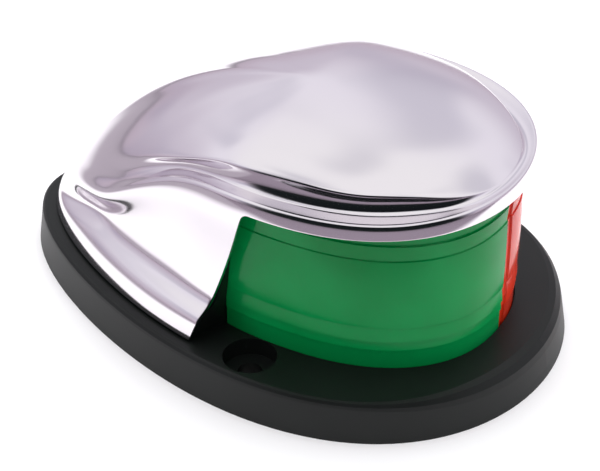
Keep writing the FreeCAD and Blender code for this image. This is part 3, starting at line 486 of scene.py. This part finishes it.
SLOT_HALF, SLOT_TOP, SLOT_FRONT_X = 1.7, 14.4, -40.0
EDGE_BREAK, EDGE_ANGLE, HOOD_CREASE = 0.16, 60, 40      # mm broken off each sharp edge, and degrees
chrome = chrome_plate()
points, faces = hood_skin()
hood = mesh_object("pressed_hood", points, faces, chrome)
cut_opening(hood, mouth_planes())
cut_opening(hood, [(Vector((0, SLOT_HALF, 0)), Vector((0, 1, 0))),
                   (Vector((0, -SLOT_HALF, 0)), Vector((0, -1, 0))),
                   (Vector((0, 0, SLOT_TOP)), Vector((0, 0, 1))),
                   (Vector((SLOT_FRONT_X, 0, 0)), Vector((1, 0, 0)))])
wall = hood.modifiers.new("wall", "SOLIDIFY")
wall.thickness, wall.offset, wall.use_even_offset = SHEET * MM, -1.0, True
edge = hood.modifiers.new("edge", "BEVEL")
edge.width, edge.segments = EDGE_BREAK * MM, 2
edge.limit_method, edge.angle_limit = "ANGLE", math.radians(EDGE_ANGLE)
finished(hood, HOOD_CREASE)
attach(hood, "hood")
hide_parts("hood")


# ======== Lens ========
# Two acrylic mouldings cemented on the centre line, green to starboard and red to port.  Shallow steps
# round the top and bottom of the outer face bend the light level; the inside is plain.
LENS_CENTRE_X, LENS_LENGTH, LENS_WIDTH, LENS_WALL, SQUARENESS = 14.5, 72.0, 56.2, 2.4, 2.3
LENS_FOOT, LENS_TOP, LENS_REAR_X, LENS_SWELL = 7.8, 44.2, 0.8, 0.5
# Up the outer face: (mm above the deck, share of the swell).
LENS_STEPS = ((4.3, 0.0), (4.5, 0.6), (6.5, 0.2), (6.7, 0.9), (9.9, 0.3), (10.1, 0.75), (14.0, 0.95),
              (18.3, 1.0), (22.5, 0.95), (26.4, 0.75), (26.6, 0.3), (30.1, 0.9), (30.3, 0.2), (33.1, 0.6),
              (33.3, 0.0))
LENS_COLUMNS, LENS_CREASE = 96, 18      # columns round each half, and degrees at which a step stays crisp
SEAM_WIDTH, SEAM_DEPTH = 1.0, 0.35      # the sunk strip that the port half shows along the joint
SEAM_RAMP, SEAM_LIP, SEAM_CLEAR = 0.006, 0.012, 0.02    # turns round the lens, in radians


def lens_half(name, side, material):
    """Half of the lens as a closed solid: side -1 is starboard, 1 is port."""
    length, width = LENS_LENGTH / 2, LENS_WIDTH / 2
    steps = [(DECK_Z + rise, share * LENS_SWELL) for rise, share in LENS_STEPS]
    outer = [(LENS_FOOT, 0.0)] + steps + [(LENS_TOP, 0.0)]
    inner = [(LENS_TOP, -LENS_WALL), ((LENS_TOP + LENS_FOOT) / 2, -LENS_WALL), (LENS_FOOT, -LENS_WALL)]
    section = outer + inner
    last = math.acos(-((LENS_CENTRE_X - LENS_REAR_X) / length) ** (SQUARENESS / 2))
    turns = [i / LENS_COLUMNS * last for i in range(LENS_COLUMNS + 1)]
    step = SEAM_WIDTH / width
    columns = [(0.0, 1), (step, 1), (step + SEAM_RAMP, 0)] if side > 0 else [(0.0, 0.6), (SEAM_LIP, 0)]
    columns += [(t, 0) for t in turns if t > step + SEAM_CLEAR]
    points, faces = [], []
    for turn, sunk in columns:
        for index, (z, swell) in enumerate(section):
            grow = swell - (sunk * SEAM_DEPTH if index < len(outer) else 0)
            along, across = (math.copysign(abs(v) ** (2 / SQUARENESS), v)
                             for v in (math.cos(turn), math.sin(turn)))
            x = LENS_CENTRE_X + (length + grow) * along
            y = (width + grow) * across * side
            points.append((LENS_REAR_X if turn == last else x, y, z))
    n = len(section)
    for c in range(len(columns) - 1):
        for k in range(n):
            faces.append((c * n + k, c * n + (k + 1) % n, (c + 1) * n + (k + 1) % n, (c + 1) * n + k))
    faces.append(tuple(reversed(range(n))))
    faces.append(tuple((len(columns) - 1) * n + k for k in range(n)))
    made = mesh_object(name, points, faces, material)
    bm = bmesh.new()
    bm.from_mesh(made.data)
    bmesh.ops.recalc_face_normals(bm, faces=bm.faces)
    bm.to_mesh(made.data)
    bm.free()
    made.data.set_sharp_from_angle(angle=math.radians(LENS_CREASE))
    return made


FLOW_MARK = 28.6                # mm across one flow mark of the moulding


def tinted_acrylic(name, deep, light):
    material, tree, surface = new_material(name)
    place = add(tree, "ShaderNodeTexCoord").outputs["Object"]
    flow = add(tree, "ShaderNodeTexNoise", Vector=place, Scale=1 / (FLOW_MARK * MM), Detail=2.0)
    colour = ramp(tree, flow.outputs[0], [(0.3, deep), (0.7, light)])
    tree.links.new(colour, surface.inputs["Base Color"])
    surface.inputs["Roughness"].default_value = 0.16
    surface.inputs["IOR"].default_value = 1.4
    surface.inputs["Specular IOR Level"].default_value = 0.2
    surface.inputs["Transmission Weight"].default_value = 0.2
    return material


green_acrylic = tinted_acrylic("green_acrylic", "#009c49", "#08b45c")
red_acrylic = tinted_acrylic("red_acrylic", "#e02008", "#ff4224")
HALVES = (("starboard_lens_moulding", -1, green_acrylic, "starboard_lens", "green_lens"),
          ("port_lens_moulding", 1, red_acrylic, "port_lens", "red_lens"))
for name, side, material, node, slot in HALVES:
    half_lens = lens_half(name, side, material)
    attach(half_lens, "lens")
    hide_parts(node)


# ======== Lamp ========
# A clear blown bulb on a brass bayonet cap: the glass is thin and faintly grey, the solder dull, and the
# filament a coil of bare tungsten.
FINE_PER_PATCH = 20             # how many times finer the relief is than the patches


def finish(name, dark, light, metallic=0.0, rough=(0.3, 0.4), patch=16.7, bump=0.1, depth=0.05, stretch=None):
    """Two tones in soft patches (mm across), with a matching change of gloss and a fine relief (mm deep)."""
    material, tree, surface = new_material(name)
    place = add(tree, "ShaderNodeTexCoord").outputs["Object"]
    if stretch:
        place = add(tree, "ShaderNodeMapping", Vector=place, Scale=stretch).outputs["Vector"]
    scale = 1 / (patch * MM)
    patches = add(tree, "ShaderNodeTexNoise", Vector=place, Scale=scale, Detail=3.0).outputs[0]
    fine = add(tree, "ShaderNodeTexNoise", Vector=place, Scale=scale * FINE_PER_PATCH, Detail=2.0).outputs[0]
    gloss = add(tree, "ShaderNodeMapRange", Value=patches, _3=rough[0], _4=rough[1])
    relief = add(tree, "ShaderNodeBump", Height=fine, Strength=bump, Distance=depth * MM)
    tree.links.new(ramp(tree, patches, [(0.35, dark), (0.65, light)]), surface.inputs["Base Color"])
    tree.links.new(gloss.outputs["Result"], surface.inputs["Roughness"])
    tree.links.new(relief.outputs["Normal"], surface.inputs["Normal"])
    surface.inputs["Metallic"].default_value = metallic
    return material


blown_glass = finish("blown_glass", "#f4f8f8", "#fbfdfd", rough=(0.01, 0.03), bump=0.02)
blown_glass.node_tree.nodes["Principled BSDF"].inputs["Transmission Weight"].default_value = 0.95
# The cap is turned, so its marks run round it: fine along the lamp's axis, long across it.
turned_brass = finish("turned_brass", "#b08d45", "#c9a55c", 1.0, (0.2, 0.34), 11.1, 0.15,
                      stretch=(6.0, 1.0, 1.0))
lead_solder = finish("lead_solder", "#8e8f92", "#a8a9ab", 1.0, (0.35, 0.5), 5.0, 0.3)
tungsten = finish("tungsten", "#4a4a4d", "#5f5f62", 1.0, (0.4, 0.5), 5.0)
LAMP_FINISHES = (("bulb_glass", blown_glass), ("bulb_cap", turned_brass), ("bulb_contacts", lead_solder),
                 ("bulb_filament", tungsten))
for node, material in LAMP_FINISHES:
    dress(node, material)


# ======== Socket and wiring ========
# Nickel-plated steel that shows its rolling direction, brown resin board, brass fittings and PVC-covered
# leads.  The two contact springs are wound wire; the model's plain sleeves only hold their room.
nickel_plate = finish("nickel_plate", "#a6a49c", "#bbb9b1", 1.0, (0.22, 0.36), 14.3, 0.12,
                      stretch=(1.0, 8.0, 1.0))
soft_aluminium = finish("soft_aluminium", "#a9abad", "#bfc1c3", 1.0, (0.3, 0.42), 8.33, 0.15)
stainless_steel = finish("stainless_steel", "#b4b5b8", "#c6c7ca", 1.0, (0.16, 0.28), 9.09, 0.1)
# Paper-filled resin: the sheet's layers show as faint level streaks.
phenolic_board = finish("phenolic_board", "#53311b", "#6b4428", 0.0, (0.4, 0.55), 6.67, 0.3,
                        stretch=(1.0, 1.0, 4.0))
# Extruded covers with a soft sheen, moulded nylon that is a little shinier, and rubber that is dull.
black_pvc = finish("black_pvc", "#131414", "#1b1c1c", 0.0, (0.35, 0.45), 8.33, 0.1)
grey_pvc = finish("grey_pvc", "#7d7f82", "#8c8e90", 0.0, (0.35, 0.45), 8.33, 0.1)
white_nylon = finish("white_nylon", "#dcdad0", "#e8e6de", 0.0, (0.32, 0.42), 12.5, 0.12)
nitrile_rubber = finish("nitrile_rubber", "#161616", "#212121", 0.0, (0.6, 0.75), 7.14, 0.35, 0.1)
DRESSED = (
    (nickel_plate, ("socket_shell", "socket_bracket", "terminal_screws", "block_screw")),
    (soft_aluminium, ("socket_rivets",)),
    (phenolic_board, ("socket_end_plate", "contact_insulator")),
    (turned_brass, ("socket_terminals", "contact_plungers", "terminal_clamps", "hood_screw_insert")),
    (black_pvc, ("starboard_lead",)),
    (grey_pvc, ("port_lead",)),
    (white_nylon, ("terminal_block",)),
    (stainless_steel, ("hood_screw", "hood_screw_washer")),
    (nitrile_rubber, ("base_gasket", "lens_seat_gasket", "lens_top_seal", "cable_grommet")),
)
for material, nodes in DRESSED:
    for node in nodes:
        dress(node, material)


def spring_tree(material):
    """Wound springs side by side: a helix of wire at each point of a short line."""
    tree = bpy.data.node_groups.new("wound_springs", "GeometryNodeTree")
    tree.interface.new_socket("Count", in_out="INPUT", socket_type="NodeSocketInt").default_value = 2
    for name, value in (("Spacing", 6.4 * MM), ("Turns", 4.0), ("Coil Radius", 1.75 * MM),
                        ("Wire Radius", 0.23 * MM), ("Length", 4.0 * MM)):
        tree.interface.new_socket(name, in_out="INPUT", socket_type="NodeSocketFloat").default_value = value
    tree.interface.new_socket("Geometry", in_out="OUTPUT", socket_type="NodeSocketGeometry")
    given = tree.nodes.new("NodeGroupInput").outputs
    helix = add(tree, "GeometryNodeCurveSpiral", Resolution=32, Rotations=given["Turns"],
                Start_Radius=given["Coil Radius"], End_Radius=given["Coil Radius"], Height=given["Length"])
    wire = add(tree, "GeometryNodeCurvePrimitiveCircle", Resolution=12, Radius=given["Wire Radius"])
    coil = add(tree, "GeometryNodeCurveToMesh", Curve=helix.outputs[0], Profile_Curve=wire.outputs[0],
               Fill_Caps=True)
    step = add(tree, "ShaderNodeCombineXYZ", Y=given["Spacing"])
    line = add(tree, "GeometryNodeMeshLine", {"mode": "OFFSET"}, Count=given["Count"],
               Offset=step.outputs[0])
    placed = add(tree, "GeometryNodeInstanceOnPoints", Points=line.outputs[0], Instance=coil.outputs[0],
                 Rotation=(0.0, math.pi / 2, 0.0))
    real = add(tree, "GeometryNodeRealizeInstances", Geometry=placed.outputs[0])
    smooth = add(tree, "GeometryNodeSetShadeSmooth", Geometry=real.outputs[0])
    painted = add(tree, "GeometryNodeSetMaterial", Geometry=smooth.outputs[0], Material=material)
    tree.links.new(painted.outputs[0], tree.nodes.new("NodeGroupOutput").inputs[0])
    return tree


spring_wire = finish("spring_wire", "#7b7c7f", "#939497", 1.0, (0.25, 0.35), 3.33)
low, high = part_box("contact_springs")
springs = mesh_object("contact_spring_coils", [], [], spring_wire)
winding = springs.modifiers.new("winding", "NODES")
winding.node_group = spring_tree(spring_wire)
sockets = winding.node_group.interface.items_tree
inputs = {item.name: item.identifier for item in sockets if item.in_out == "INPUT"}
WIRE_RADIUS = 0.23 * MM
winding[inputs["Wire Radius"]] = WIRE_RADIUS
winding[inputs["Coil Radius"]] = (high[2] - low[2]) / 2 - WIRE_RADIUS
winding[inputs["Length"]] = high[0] - low[0] - 2 * WIRE_RADIUS
winding[inputs["Spacing"]] = high[1] - low[1] - (high[2] - low[2])
springs.location = (low[0] + WIRE_RADIUS, low[1] + (high[2] - low[2]) / 2, (low[2] + high[2]) / 2)
bpy.context.view_layer.update()
finished(springs)
springs.data.transform(springs.matrix_world)
springs.location = (0, 0, 0)
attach(springs, "base")
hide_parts("contact_springs")
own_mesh(springs)


# ======== Sizes ========
size = {"cad": [list(map(float, corner)) for corner in cad_box], "visual": [list(map(float, corner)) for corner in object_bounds()]}
